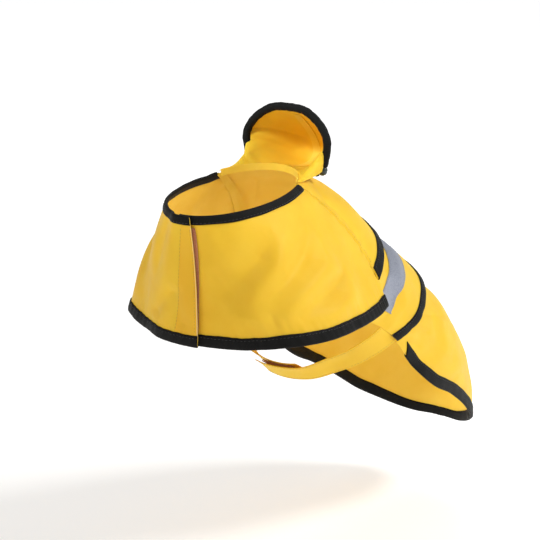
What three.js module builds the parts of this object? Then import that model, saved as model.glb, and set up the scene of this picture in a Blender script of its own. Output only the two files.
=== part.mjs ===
// Dog raincoat: a caped coat for a small dog, held in the shape it has on a seated wearer.
// Millimetres. The wearer faces -X with its left side toward -Y, and +Z is up.
// The origin is the point on the wearer's withers, under the upper back, that carries the coat.
import * as THREE from 'three';

// Driving sizes
const CLOTH = 1.2; // wall of each cloth panel
const SEAM = 0.3; // gap between pieces that are sewn or laid together

// Folded tape that covers a raw edge: two legs and a closed end
const BINDING = { width: 10, leg: 0.9, legGap: 0.4, end: 1.0 };
const NECK_BINDING_WIDTH = 7;
const BINDING_HALF = CLOTH / 2 + BINDING.legGap + BINDING.leg;
const SLACK = 1.35; // play between a bound edge and the panel that it lies on
const LAYER = BINDING_HALF + SLACK + CLOTH / 2; // depth of a panel that lies under a bound edge
const SEWN = CLOTH + SEAM; // depth of a panel where it is sewn under another

// The neckline is a level oval, a little higher at the nape; 0 degrees is the nape, 180 the throat
const NECK = { x: -68, halfLength: 63, halfWidth: 43, z: 3.5, rise: 6.5 };

// Ribs of the cape on the wearer's left, from the raglan seam forward to the front middle.
// Each runs from the neckline down to the hem; back and out bow its middle backward and sideways.
const CAPE_RIBS = [
  { deg: 60, x: 25, y: -84, z: -99.5, back: 23, out: -4 },
  { deg: 78, x: 4, y: -89, z: -101, back: 14, out: 0 },
  { deg: 98, x: -30, y: -93, z: -101, back: 5, out: 3 },
  { deg: 120, x: -70, y: -93, z: -100, back: -1, out: 2 },
  { deg: 143, x: -101, y: -79, z: -100, back: -2, out: 0 },
  { deg: 163, x: -121, y: -45, z: -103, back: -3, out: 0 },
  { deg: 180, x: -130, y: 0, z: -104, back: -3, out: 0 },
];
const CAPE_SPAN = CAPE_RIBS.length - 1;

// Largest folds of the cape: soft troughs between two spots, given by rib and share down
const CAPE_FOLDS = [
  { rib: 2.85, down: 0.2, toRib: 4.65, toDown: 0.74, depth: 3.2, width: 11 },
  { rib: 1.75, down: 0.3, toRib: 2.4, toDown: 0.48, depth: 2.4, width: 9 },
  { rib: 1.6, down: 0.6, toRib: 2.3, toDown: 0.78, depth: 2.4, width: 9 },
];
const FOLD_MM = { rib: 28, down: 97 }; // one rib and the whole way down, at the cape's middle
const RAGLAN_END = 0.82; // share of the rear rib that is raglan seam; the rest is a free edge
const RAGLAN_DEG = { neck: 60, flap: 75 }; // where the raglan seams lie around the hoops

// Line of the wearer's back under the coat, from the nape to the tip of the tail panel
const SPINE = [
  { x: -5, z: 10 }, { x: 45, z: -12 }, { x: 88, z: -49 }, { x: 122, z: -75 }, { x: 152, z: -97 },
  { x: 191, z: -132 }, { x: 221, z: -165 }, { x: 242, z: -194 }, { x: 257, z: -229 },
  { x: 264, z: -274 },
];
// Hoops around the trunk, one at each spine row below the flap edge: how far below level the
// hoop falls forward, its half width and its half depth
const FLAP_STATION = 2;
const HOOPS = [
  { tilt: 28, width: 71.5, depth: 79 }, { tilt: 28, width: 73.5, depth: 79 },
  { tilt: 25, width: 75, depth: 82 }, { tilt: 20, width: 75, depth: 84 },
  { tilt: 14, width: 72, depth: 82 }, { tilt: 8, width: 68, depth: 78 },
  { tilt: 2, width: 62, depth: 70 },
];

// Edges of the back panels, as stations down the spine and degrees around the hoops.
// Each list runs from the middle of the back to the wearer's flank.
const BACK_TOP = [
  { station: 1.55, deg: 0 }, { station: 1.55, deg: 22 }, { station: 1.56, deg: 43 },
  { station: 1.62, deg: 62 }, { station: 2.1, deg: 82 }, { station: 2.8, deg: 104 },
];
const BACK_HEM = [
  { station: 4.08, deg: 0 }, { station: 4.1, deg: 22 }, { station: 4.11, deg: 43 },
  { station: 4.11, deg: 64 }, { station: 4.08, deg: 84 }, { station: 3.9, deg: 104 },
];
const TAIL_HEM = [
  { station: 9.25, deg: 0 }, { station: 9.18, deg: 26 }, { station: 8.87, deg: 50 },
  { station: 8.35, deg: 73 }, { station: 7.5, deg: 89 }, { station: 6.3, deg: 99.5 },
  { station: 5.1, deg: 106 }, { station: 4.05, deg: 105.5 },
];
const TAIL_TOP_DEG = 84;
const TUCK = 0.45; // stations that a panel runs on under the bound edge above it
const STRIPE = { station: 2.39, width: 25, wall: 0.6 };

// Front closure: the wearer's right front laps over the left, with hook and loop tape between,
// and a front edge that bows out by some millimetres above the hem
const LAP = { over: 12, under: 12, lift: 2 * BINDING_HALF + SEAM, ramp: 26, spare: 9, bow: 6, bowAt: 0.4 };
const FRONT_TAPE = { wall: 0.9, width: 22, shows: 4, top: 0.09, bottom: 0.89 };

// Hood: an arched rim behind the neck, and a pouch behind it. Half rim from the crown down
const RIM = [
  { x: 7, y: 0, z: 56.5 }, { x: 7, y: -13.5, z: 55.5 }, { x: 6, y: -23, z: 51.5 },
  { x: 5, y: -31.5, z: 45 }, { x: 4, y: -37, z: 37.5 }, { x: 3, y: -39, z: 30.5 },
  { x: 3, y: -38, z: 22.5 }, { x: 3, y: -36, z: 14 },
];
const RIM_RADIUS = 3.4;
const HOOD = { lift: SEWN, depth: 62, drop: 40, bottomDrop: 20, taper: 41, round: 2.4, least: 0.05 };
const CORD_LOCK_RADIUS = 3.8;
const KNOT = { radius: 2.6, neck: 1.1, length: 11 };

// Belly band: two straps from the flanks that lap under the belly
const FLANK_DEG = 104;
const BELLY = { top: 3.1, bottom: 3.85, lapDeg: 15, rampDeg: 24 };
const BELLY_TAPE = { wall: 0.8, deg: 11, inset: 0.06 };

const YELLOW = '#f0c83c';
const BLACK = '#1b1b20';
const TAPE = '#b06e4b';

const radians = THREE.MathUtils.degToRad;
const lerp = THREE.MathUtils.lerp;
const clamp = THREE.MathUtils.clamp;
const smooth = THREE.MathUtils.smoothstep;

// Smooth value of every column of a table at a fractional row
function row(table, at) {
  const last = table.length - 1;
  const i = clamp(Math.floor(at), 0, last - 1);
  const f = at - i;
  const value = {};
  for (const key of Object.keys(table[0])) {
    const column = (k) => {
      if (k < 0) return 2 * table[0][key] - table[1][key];
      if (k > last) return 2 * table[last][key] - table[last - 1][key];
      return table[k][key];
    };
    const [a, b, c, d] = [column(i - 1), column(i), column(i + 1), column(i + 2)];
    value[key] = 0.5 * (2 * b + (c - a) * f + (2 * a - 5 * b + 4 * c - d) * f * f
      + (3 * b - a - 3 * c + d) * f * f * f);
  }
  return value;
}

function neckline(deg) {
  const turn = radians(deg);
  return new THREE.Vector3(
    NECK.x + NECK.halfLength * Math.cos(turn),
    -NECK.halfWidth * Math.sin(turn),
    NECK.z + NECK.rise * Math.cos(turn),
  );
}

// The rib table, continued past the front middle by its mirror image
const RIBS_ROUND_FRONT = [
  ...CAPE_RIBS,
  ...CAPE_RIBS.slice(0, -1).reverse().map((rib) => ({
    deg: 360 - rib.deg, x: rib.x, y: -rib.y, z: rib.z, back: rib.back, out: -rib.out,
  })),
];

// How far the folds draw the cape in at a rib and share down
function foldDepth(rib, down) {
  const here = new THREE.Vector3(rib * FOLD_MM.rib, down * FOLD_MM.down, 0);
  let depth = 0;
  for (const fold of CAPE_FOLDS) {
    const from = new THREE.Vector3(fold.rib * FOLD_MM.rib, fold.down * FOLD_MM.down, 0);
    const to = new THREE.Vector3(fold.toRib * FOLD_MM.rib, fold.toDown * FOLD_MM.down, 0);
    const near = new THREE.Line3(from, to).closestPointToPoint(here, true, new THREE.Vector3());
    depth += fold.depth * Math.exp(-((near.distanceTo(here) / fold.width) ** 2));
  }
  return depth;
}

// Point of the cape: rib 0 is the left raglan, CAPE_SPAN the front middle; down runs 0 to 1
function cape(rib, down) {
  const at = row(RIBS_ROUND_FRONT, rib);
  const point = neckline(at.deg).lerp(new THREE.Vector3(at.x, at.y, at.z), down);
  const bow = 4 * down * (1 - down);
  point.x += bow * at.back;
  point.y -= bow * at.out;
  const turn = radians(at.deg);
  const out = new THREE.Vector3(Math.cos(turn) / NECK.halfLength, -Math.sin(turn) / NECK.halfWidth, 0);
  return point.addScaledVector(out.normalize(), -foldDepth(rib, down));
}

// Spine point, half width and fall of a hoop of the yoke, drawn through the two raglan seams
function yokeHoop(station) {
  const spine = row(SPINE, station);
  const share = station / FLAP_STATION;
  const seam = cape(0, RAGLAN_END * share);
  const turn = radians(lerp(RAGLAN_DEG.neck, RAGLAN_DEG.flap, share));
  const drop = 1 - Math.cos(turn);
  return {
    spine,
    width: -seam.y / Math.sin(turn),
    fallX: (seam.x - spine.x) / drop,
    fallZ: (seam.z - spine.z) / drop,
  };
}

// The last hoop of the yoke is the first of the trunk's table
const flapHoop = yokeHoop(FLAP_STATION);
const TRUNK_HOOPS = [
  {
    tilt: THREE.MathUtils.radToDeg(Math.atan2(-flapHoop.fallZ, -flapHoop.fallX)),
    width: flapHoop.width,
    depth: Math.hypot(flapHoop.fallX, flapHoop.fallZ),
  },
  ...HOOPS,
];

function hoop(station) {
  if (station < FLAP_STATION) return yokeHoop(station);
  const at = row(TRUNK_HOOPS, station - FLAP_STATION);
  const tilt = radians(at.tilt);
  return {
    spine: row(SPINE, station),
    width: at.width,
    fallX: -Math.cos(tilt) * at.depth,
    fallZ: -Math.sin(tilt) * at.depth,
  };
}

// Point of the trunk: deg is 0 on the spine, positive to the wearer's left, 180 under the belly
function trunk(station, deg) {
  const { spine, width, fallX, fallZ } = hoop(station);
  const drop = 1 - Math.cos(radians(deg));
  return new THREE.Vector3(
    spine.x + fallX * drop,
    -width * Math.sin(radians(deg)),
    spine.z + fallZ * drop,
  );
}

// Outward unit normal of a surface at (u, v); side is +1 or -1 and picks the outer face
function normalAt(surface, u, v, side) {
  const step = 1e-3;
  const alongU = surface(u + step, v).sub(surface(u - step, v));
  const alongV = surface(u, v + step).sub(surface(u, v - step));
  return alongU.cross(alongV).normalize().multiplyScalar(side);
}

// A surface moved out along its normal by a number or by a function of (u, v)
function raised(surface, side, amount) {
  return (u, v) => {
    const out = typeof amount === 'function' ? amount(u, v) : amount;
    return surface(u, v).addScaledVector(normalAt(surface, u, v, side), out);
  };
}

// Closed mesh from U-shaped rings of 8 points, with both ends capped by the same three quads.
// Faces that run back toward the legs' ends are split along the same diagonal as the cloth.
const U_CAP = [[0, 1, 2, 7], [2, 3, 6, 7], [3, 4, 5, 6]];
const BACKWARD_FACES = [3, 7];
function loft(rings) {
  const count = rings[0].length;
  const positions = rings.flat().flatMap((p) => [p.x, p.y, p.z]);
  const index = [];
  const quad = (a, b, c, d) => index.push(a, b, c, a, c, d);
  for (let i = 0; i + 1 < rings.length; i++) {
    for (let j = 0; j < count; j++) {
      const a = i * count + j;
      const b = i * count + (j + 1) % count;
      if (BACKWARD_FACES.includes(j)) quad(b, b + count, a + count, a);
      else quad(a, b, b + count, a + count);
    }
  }
  const end = (rings.length - 1) * count;
  for (const [a, b, c, d] of U_CAP) {
    quad(d, c, b, a);
    quad(end + a, end + b, end + c, end + d);
  }
  return solid(positions, index);
}

// Geometry whose faces point out: the winding is turned over if the volume comes out negative
function solid(positions, index) {
  let volume = 0;
  const at = (k) => new THREE.Vector3().fromArray(positions, 3 * k);
  for (let k = 0; k < index.length; k += 3) {
    volume += at(index[k]).dot(at(index[k + 1]).cross(at(index[k + 2])));
  }
  if (volume < 0) index.reverse();
  const geometry = new THREE.BufferGeometry();
  geometry.setAttribute('position', new THREE.Float32BufferAttribute(positions, 3));
  geometry.setIndex(index);
  return geometry;
}

// Cloth wall over a surface between listed u values and the v values that vsAt gives for each.
// The middle of the wall lies on the surface, and trim moves its edges in by some millimetres.
function wall(surface, side, us, vsAt, { thick = CLOTH, trim = {} } = {}) {
  const grid = us.map((u) => vsAt(u).map((v) => surface(u, v)));
  const normals = us.map((u) => vsAt(u).map((v) => normalAt(surface, u, v, side)));
  const pull = (point, toward, amount) => {
    point.addScaledVector(toward.clone().sub(point).normalize(), amount);
  };
  const nu = us.length - 1;
  const nv = grid[0].length - 1;
  for (let j = 0; j <= nv; j++) {
    if (trim.u0) pull(grid[0][j], grid[1][j], trim.u0);
    if (trim.u1) pull(grid[nu][j], grid[nu - 1][j], trim.u1);
  }
  for (let i = 0; i <= nu; i++) {
    if (trim.v0) pull(grid[i][0], grid[i][1], trim.v0);
  }
  const face = (offset) => grid.map((line, i) => line.map(
    (point, j) => point.clone().addScaledVector(normals[i][j], offset),
  ));
  const outer = face(thick / 2);
  const inner = face(-thick / 2);
  const positions = [...outer.flat(), ...inner.flat()].flatMap((p) => [p.x, p.y, p.z]);
  const size = (nu + 1) * (nv + 1);
  const id = (i, j) => i * (nv + 1) + j;
  const index = [];
  const quad = (a, b, c, d) => index.push(a, b, c, a, c, d);
  for (let i = 0; i < nu; i++) {
    for (let j = 0; j < nv; j++) {
      quad(id(i, j), id(i + 1, j), id(i + 1, j + 1), id(i, j + 1));
      quad(size + id(i, j), size + id(i, j + 1), size + id(i + 1, j + 1), size + id(i + 1, j));
    }
  }
  const rim = (a, b) => quad(b, a, size + a, size + b);
  for (let i = 0; i < nu; i++) {
    rim(id(i, 0), id(i + 1, 0));
    rim(id(i + 1, nv), id(i, nv));
  }
  for (let j = 0; j < nv; j++) {
    rim(id(nu, j), id(nu, j + 1));
    rim(id(0, j + 1), id(0, j));
  }
  return solid(positions, index);
}

// Millimetres of surface for each unit of v, measured square to the line of constant v
function speedAcross(surface, u, v) {
  const step = 1e-3;
  const alongU = surface(u + step, v).sub(surface(u - step, v));
  const alongV = surface(u, v + step).sub(surface(u, v - step));
  return alongU.clone().cross(alongV).length() / alongU.length() / (2 * step);
}

// Rows down a panel whose lower edge, and its upper one if topWidth is given, is bound: the cloth
// ends inside the binding, and the next row lies where the legs of the binding end
function boundRows(surface, count, topWidth = 0) {
  const inside = BINDING.end + SEAM;
  return (u) => {
    const speed = speedAcross(surface, u, 1);
    const to = 1 - BINDING.width / speed;
    const last = 1 - inside / speed;
    if (!topWidth) return [...steps(0, to, count), last];
    const topSpeed = speedAcross(surface, u, 0);
    return [inside / topSpeed, ...steps(topWidth / topSpeed, to, count), last];
  };
}

// Folded binding along the edge v = vEdge of a surface, with its legs reaching inward by width
function binding(surface, side, us, vEdge, inward, width = BINDING.width) {
  const near = CLOTH / 2 + BINDING.legGap;
  const far = near + BINDING.leg;
  const rings = us.map((u) => {
    const speed = speedAcross(surface, u, vEdge);
    const vDeep = vEdge + inward * width / speed;
    const vEnd = vEdge + inward * BINDING.end / speed;
    const spot = (v, out) => surface(u, v).addScaledVector(normalAt(surface, u, v, side), out);
    return [
      spot(vDeep, near), spot(vDeep, far), spot(vEdge, far), spot(vEdge, -far),
      spot(vDeep, -far), spot(vDeep, -near), spot(vEnd, -near), spot(vEnd, near),
    ];
  });
  return loft(rings);
}

// Round cord or tube along a list of points
function tube(path, radius, sides = 8) {
  const curve = new THREE.CatmullRomCurve3(path, false, 'centripetal');
  const section = new THREE.Shape();
  for (let k = 0; k < sides; k++) {
    const turn = 2 * Math.PI * k / sides;
    const spot = [radius * Math.cos(turn), radius * Math.sin(turn)];
    if (k === 0) section.moveTo(...spot);
    else section.lineTo(...spot);
  }
  section.closePath();
  return new THREE.ExtrudeGeometry(section, {
    steps: 2 * path.length, extrudePath: curve, bevelEnabled: false, curveSegments: 1,
  });
}

const steps = (from, to, count) => Array.from({ length: count + 1 }, (_, k) => lerp(from, to, k / count));
const mirrored = (point) => new THREE.Vector3(point.x, -point.y, point.z);

const coat = new THREE.Group();

function add(name, geometry, colour, roughness) {
  const material = new THREE.MeshStandardMaterial({ color: colour, roughness, metalness: 0 });
  const mesh = new THREE.Mesh(geometry, material);
  mesh.name = name;
  coat.add(mesh);
}
const addCloth = (name, geometry) => add(name, geometry, YELLOW, 0.55);
const addTrim = (name, geometry) => add(name, geometry, BLACK, 0.8);

// Ribs per millimetre at the front middle, to turn lap widths into rib numbers
const RIBS_PER_MM = 0.01 / cape(CAPE_SPAN, 1).distanceTo(cape(CAPE_SPAN + 0.01, 1));

// Cape. Ribs of the left half count up to the front; the right half is its mirror image, lifted
// over the left where the two fronts lap.
function lapReach(down) {
  const ribsPerMm = 0.01 / cape(CAPE_SPAN, down).distanceTo(cape(CAPE_SPAN + 0.01, down));
  return LAP.bow * (1 - ((down - LAP.bowAt) / (1 - LAP.bowAt)) ** 2) * ribsPerMm;
}
const rightCape = (rib, down) => {
  const share = smooth(rib, CAPE_SPAN - 1, CAPE_SPAN);
  return mirrored(cape(rib + share * lapReach(down), down));
};
const liftedRib = CAPE_SPAN - (LAP.under + LAP.spare) * RIBS_PER_MM;
const lapLift = (rib) => LAP.lift * smooth(rib, liftedRib - LAP.ramp * RIBS_PER_MM, liftedRib);
const rightFront = raised(rightCape, -1, (rib) => lapLift(rib));
const LEFT_END = CAPE_SPAN + LAP.under * RIBS_PER_MM;
const RIGHT_END = CAPE_SPAN + LAP.over * RIBS_PER_MM;
const NECK_BINDING_START = 0.1;
const ribsTo = (end) => [0, NECK_BINDING_START, ...steps(0, end, 24).slice(1)];
const leftRibs = ribsTo(LEFT_END);
const rightRibs = ribsTo(RIGHT_END);
const capeTrim = { u0: SEAM };
const capeRows = (surface) => boundRows(surface, 9, NECK_BINDING_WIDTH);
addCloth('cape_left', wall(cape, 1, leftRibs, capeRows(cape), { trim: capeTrim }));
addCloth('cape_right', wall(rightFront, -1, rightRibs, capeRows(rightFront), { trim: capeTrim }));
addTrim('cape_hem_left', binding(cape, 1, leftRibs, 1, -1));
addTrim('cape_hem_right', binding(rightFront, -1, rightRibs, 1, -1));

// Yoke over the upper back, between the raglan seams, with a free bound edge
const yoke = (across, down) => trunk(
  FLAP_STATION * down,
  across * lerp(RAGLAN_DEG.neck, RAGLAN_DEG.flap, down),
);
const YOKE_BOUND = 0.985;
const yokeBound = [-YOKE_BOUND, ...steps(-1, 1, 20).slice(1, -1), YOKE_BOUND];
const yokeAcross = [-1, ...yokeBound, 1];
const yokeTrim = { u0: SEAM, u1: SEAM, v0: SEAM };
addCloth('yoke', wall(yoke, 1, yokeAcross, boundRows(yoke, 6), { trim: yokeTrim }));
addTrim('yoke_binding', binding(yoke, 1, yokeBound, 1, -1));

// Neckline binding of each front, from the raglan seam to the front edge
addTrim('neck_binding_left', binding(cape, 1, leftRibs.slice(1), 0, 1, NECK_BINDING_WIDTH));
addTrim('neck_binding_right', binding(rightFront, -1, rightRibs.slice(1), 0, 1, NECK_BINDING_WIDTH));

// Hook tape on the left front's outer face, and loop tape inside the right front
const tapeDown = () => steps(FRONT_TAPE.top, FRONT_TAPE.bottom, 8);
const hookFrom = CAPE_SPAN - (LAP.over + FRONT_TAPE.shows) * RIBS_PER_MM;
const hookRibs = steps(hookFrom, hookFrom + FRONT_TAPE.width * RIBS_PER_MM, 3);
const onFace = CLOTH / 2 + SEAM + FRONT_TAPE.wall / 2;
const hookBase = (rib, down) => cape(rib - lapReach(down), down);
const hookFace = raised(hookBase, 1, onFace);
add('hook_tape', wall(hookFace, 1, hookRibs, tapeDown, { thick: FRONT_TAPE.wall }), TAPE, 0.9);
const loopTo = RIGHT_END - RIBS_PER_MM;
const loopRibs = steps(loopTo - FRONT_TAPE.width * RIBS_PER_MM, loopTo, 3);
const underFront = raised(rightCape, -1, (rib) => lapLift(rib) - onFace);
add('loop_tape', wall(underFront, -1, loopRibs, tapeDown, { thick: FRONT_TAPE.wall }), TAPE, 0.9);

// Panel of the back between two edge tables, the same on both flanks
function backPanel(top, hem) {
  const last = top.length - 1;
  const spot = (across, down) => {
    const from = row(top, Math.abs(across) * last);
    const to = row(hem, Math.abs(across) * last);
    return {
      station: lerp(from.station, to.station, down),
      deg: Math.sign(across) * lerp(from.deg, to.deg, down),
    };
  };
  const surface = (across, down) => {
    const at = spot(across, down);
    return trunk(at.station, at.deg);
  };
  return { spot, surface };
}

// How deep a panel lies where it passes under the bound edge at a station: sewn close at its
// own top edge, a layer deep under the edge, and level again below it
function depthUnder(edge, { station, deg }) {
  const clear = Math.max(smooth(station, edge - TUCK, edge - 0.75 * TUCK), smooth(Math.abs(deg), 30, 50));
  const tucked = lerp(SEWN, LAYER, clear);
  const easeFrom = edge + 0.25 + 0.6 * smooth(Math.abs(deg), 62, 80);
  return tucked * (1 - smooth(station, easeFrom, easeFrom + 0.55));
}

const back = backPanel(BACK_TOP, BACK_HEM);
const backFace = raised(back.surface, 1, (u, v) => -depthUnder(FLAP_STATION, back.spot(u, v)));
const backAcross = steps(-1, 1, 22);
addCloth('back_panel', wall(backFace, 1, backAcross, boundRows(backFace, 9)));
addTrim('back_binding', binding(backFace, 1, backAcross, 1, -1));

// Reflective stripe sewn across the back panel, on the same lines across as the panel
const stripe = (across, down) => {
  const top = back.spot(across, 0).station;
  const hem = back.spot(across, 1).station;
  const speed = speedAcross(back.surface, across, 0.5);
  const from = (STRIPE.station - top) / (hem - top);
  return backFace(across, Math.max(from, 0.03) + down * STRIPE.width / speed);
};
const stripeOut = CLOTH / 2 + 3 * SEAM + STRIPE.wall / 2;
const stripeAcross = backAcross.slice(1, -1);
add('reflective_stripe', wall(raised(stripe, 1, stripeOut), 1, stripeAcross, () => steps(0, 1, 3), {
  thick: STRIPE.wall,
}), '#989eae', 0.35);

// Tail panel over the rump, long in the middle
const edgeAt = (deg) => row(BACK_HEM, Math.abs(deg) / FLANK_DEG * (BACK_HEM.length - 1)).station;
const tailTop = TAIL_HEM.map((_, k) => {
  const deg = TAIL_TOP_DEG * k / (TAIL_HEM.length - 1);
  return { station: edgeAt(deg) - TUCK, deg };
});
const tail = backPanel(tailTop, TAIL_HEM);
const tailFace = raised(tail.surface, 1, (u, v) => {
  const at = tail.spot(u, v);
  return -depthUnder(edgeAt(at.deg), at);
});
const tailAcross = steps(-1, 1, 30);
addCloth('tail_panel', wall(tailFace, 1, tailAcross, boundRows(tailFace, 11)));
addTrim('tail_binding', binding(tailFace, 1, tailAcross.slice(1, -1), 1, -1));

// Belly band from each flank; the left one laps outside the right under the belly
const bellyGap = THREE.MathUtils.radToDeg(SEAM / HOOPS[0].width);
const bellyFrom = FLANK_DEG + bellyGap;
const bellyTo = 180 + BELLY.lapDeg;
const bellyLift = CLOTH + 2 * BELLY_TAPE.wall + 4 * SEAM;
const bellyStations = () => steps(BELLY.top, BELLY.bottom, 2);
const bellyDegs = steps(bellyFrom, bellyTo, 14);
const bellySurface = (deg, station) => trunk(station, deg);
const bellyRise = (deg) => bellyLift * smooth(deg, 180 - BELLY.lapDeg - BELLY.rampDeg, 180 - BELLY.lapDeg);
const bellyLeft = raised(bellySurface, 1, bellyRise);
const bellyRight = (deg, station) => mirrored(bellySurface(deg, station));
addCloth('belly_band_left', wall(bellyLeft, 1, bellyDegs, bellyStations));
addCloth('belly_band_right', wall(bellyRight, -1, bellyDegs, bellyStations));
const bellyOnFace = CLOTH / 2 + 1.5 * SEAM + BELLY_TAPE.wall / 2;
const bellyTapeDegs = steps(180 - BELLY_TAPE.deg, 180 + BELLY_TAPE.deg, 3);
const bellyTapeStations = () => steps(BELLY.top + BELLY_TAPE.inset, BELLY.bottom - BELLY_TAPE.inset, 2);
const bellyTape = (name, out) => {
  const surface = raised(bellySurface, 1, out);
  add(name, wall(surface, 1, bellyTapeDegs, bellyTapeStations, { thick: BELLY_TAPE.wall }), TAPE, 0.9);
};
bellyTape('belly_hook_tape', bellyOnFace);
bellyTape('belly_loop_tape', bellyLift - bellyOnFace);

// Hood: each half runs from the yoke's neckline back round the pouch and up to the rim
const RIM_LAST = RIM.length - 1;
const rimPoint = (at) => {
  const p = row(RIM, at);
  return new THREE.Vector3(p.x, p.y, p.z);
};
const hoodHalf = (at, round) => {
  const rim = rimPoint(at);
  const base = neckline(RAGLAN_DEG.neck * at / RIM_LAST);
  base.z += HOOD.lift;
  const power = lerp(HOOD.round, 1, at / RIM_LAST);
  const full = Math.max(1 - (Math.abs(rim.y) / HOOD.taper) ** power, HOOD.least);
  const low = base.clone().add(new THREE.Vector3(HOOD.depth * full, 0, -HOOD.bottomDrop * full));
  const high = rim.clone().add(new THREE.Vector3(HOOD.depth * full, 0, -HOOD.drop * full));
  return new THREE.CubicBezierCurve3(base, low, high, rim).getPoint(round);
};
// The cloth of the hood stops short of the rim cord and of the lock under its end
const rimSamples = steps(0, RIM_LAST, 70).map(rimPoint);
const rimEnd = rimPoint(RIM_LAST);
const rimEndWay = rimEnd.clone().sub(rimPoint(RIM_LAST - 0.1)).normalize();
const lockCentre = rimEnd.clone().addScaledVector(rimEndWay, CORD_LOCK_RADIUS + SEAM);
function hoodClear(point) {
  const toRim = Math.min(...rimSamples.map((p) => p.distanceTo(point)));
  const toLock = lockCentre.distanceTo(point);
  return toRim > RIM_RADIUS + CLOTH && toLock > CORD_LOCK_RADIUS + CLOTH;
}
const hoodRound = (at) => {
  let end = 1;
  while (!hoodClear(hoodHalf(at, end))) end -= 0.005;
  return steps(0, end, 10);
};
const hoodRows = steps(0, RIM_LAST, 14);
const hoodTrim = { u0: SEAM, v0: SEAM };
addCloth('hood_left', wall(hoodHalf, 1, hoodRows, hoodRound, { trim: hoodTrim }));
const hoodOther = (at, round) => mirrored(hoodHalf(at, round));
addCloth('hood_right', wall(hoodOther, -1, hoodRows, hoodRound, { trim: hoodTrim }));

const halfRim = steps(0, RIM_LAST, 10).map(rimPoint);
const wholeRim = [...halfRim.slice(1).reverse(), ...halfRim.map(mirrored)];
addTrim('hood_rim', tube(wholeRim, RIM_RADIUS));

// Cord lock under each end of the rim, and the knotted cord end that comes out of it
for (const [name, flip] of [['left', (p) => p], ['right', mirrored]]) {
  const lock = new THREE.SphereGeometry(CORD_LOCK_RADIUS, 12, 8);
  const centre = flip(lockCentre.clone());
  lock.translate(...centre.toArray());
  add(`cord_lock_${name}`, lock, '#22302e', 0.4);
  const knot = new THREE.LatheGeometry([
    new THREE.Vector2(0, 0), new THREE.Vector2(0.7 * KNOT.radius, 0.3 * KNOT.radius),
    new THREE.Vector2(KNOT.radius, KNOT.radius), new THREE.Vector2(0.7 * KNOT.radius, 1.7 * KNOT.radius),
    new THREE.Vector2(KNOT.neck, 2.2 * KNOT.radius), new THREE.Vector2(KNOT.neck, KNOT.length),
    new THREE.Vector2(0, KNOT.length),
  ], 10);
  const out = flip(new THREE.Vector3(-0.93, 0.3, -0.2).normalize());
  knot.applyQuaternion(new THREE.Quaternion().setFromUnitVectors(new THREE.Vector3(0, 1, 0), out));
  knot.translate(...centre.addScaledVector(out, CORD_LOCK_RADIUS + SEAM).toArray());
  addTrim(`cord_end_${name}`, knot);
}

export default coat;
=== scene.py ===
"""Dog raincoat, dressed over its solids: thin cloth, folded tape, stripe, hood, cord locks and belly band.

Surfaces are worked out in millimetres with the solids' own sizes, and meshes are made in metres.
The coat's front is toward -X and its left side toward -Y, and +Z is up.
"""
import math

import bmesh
import bpy
import numpy as np
from mathutils import Matrix


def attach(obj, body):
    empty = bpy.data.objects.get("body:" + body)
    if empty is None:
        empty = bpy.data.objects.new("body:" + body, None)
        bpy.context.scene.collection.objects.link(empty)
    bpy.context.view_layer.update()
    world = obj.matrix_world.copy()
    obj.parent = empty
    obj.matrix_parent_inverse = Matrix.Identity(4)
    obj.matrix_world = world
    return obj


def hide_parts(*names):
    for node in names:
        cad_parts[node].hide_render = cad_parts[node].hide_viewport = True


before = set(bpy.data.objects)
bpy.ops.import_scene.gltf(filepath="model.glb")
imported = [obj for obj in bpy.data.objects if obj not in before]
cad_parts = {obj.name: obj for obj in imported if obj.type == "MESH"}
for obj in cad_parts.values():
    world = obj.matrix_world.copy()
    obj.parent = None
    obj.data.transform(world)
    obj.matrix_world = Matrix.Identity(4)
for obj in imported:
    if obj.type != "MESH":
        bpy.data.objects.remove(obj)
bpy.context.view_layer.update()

MM = 0.001

# Sizes shared with the solids
CLOTH = 1.2
SEAM = 0.3
TAPE = 10.0
NECK_TAPE = 7.0
BINDING_HALF = 1.9
SLACK = 1.35
LAYER = BINDING_HALF + SLACK + CLOTH / 2
SEWN = CLOTH + SEAM
NECK = {"x": -68, "half_length": 63, "half_width": 43, "z": 3.5, "rise": 6.5}

# deg, x, y, z, back, out
CAPE_RIBS = [
    (60, 25, -84, -99.5, 23, -4), (78, 4, -89, -101, 14, 0), (98, -30, -93, -101, 5, 3),
    (120, -70, -93, -100, -1, 2), (143, -101, -79, -100, -2, 0), (163, -121, -45, -103, -3, 0),
    (180, -130, 0, -104, -3, 0),
]
CAPE_SPAN = len(CAPE_RIBS) - 1
RAGLAN_END = 0.82
RAGLAN_DEG = (60, 75)
FLAP_STATION = 2

# x, z
SPINE = [(-5, 10), (45, -12), (88, -49), (122, -75), (152, -97), (191, -132), (221, -165), (242, -194),
         (257, -229), (264, -274)]
# tilt, width, depth
HOOPS = [(28, 71.5, 79), (28, 73.5, 79), (25, 75, 82), (20, 75, 84), (14, 72, 82), (8, 68, 78), (2, 62, 70)]

# station, deg
BACK_TOP = [(1.55, 0), (1.55, 22), (1.56, 43), (1.62, 62), (2.1, 82), (2.8, 104)]
BACK_HEM = [(4.08, 0), (4.1, 22), (4.11, 43), (4.11, 64), (4.08, 84), (3.9, 104)]
TAIL_HEM = [(9.25, 0), (9.18, 26), (8.87, 50), (8.35, 73), (7.5, 89), (6.3, 99.5), (5.1, 106),
            (4.05, 105.5)]
TAIL_TOP_DEG = 84
TUCK = 0.45
STRIPE = {"station": 2.39, "width": 25, "reach": 0.885, "thick": 0.4}
LAP = {"over": 12, "under": 12, "lift": 2 * BINDING_HALF + SEAM, "ramp": 26, "spare": 9, "bow": 6,
       "bow_at": 0.4, "doubled": 22, "edge": 1.1}
FRONT_TAPE = {"wall": 0.9, "width": 22, "shows": 4, "top": 0.09, "bottom": 0.89}
HOOK_ASKEW = (-1.5, 5)

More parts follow.
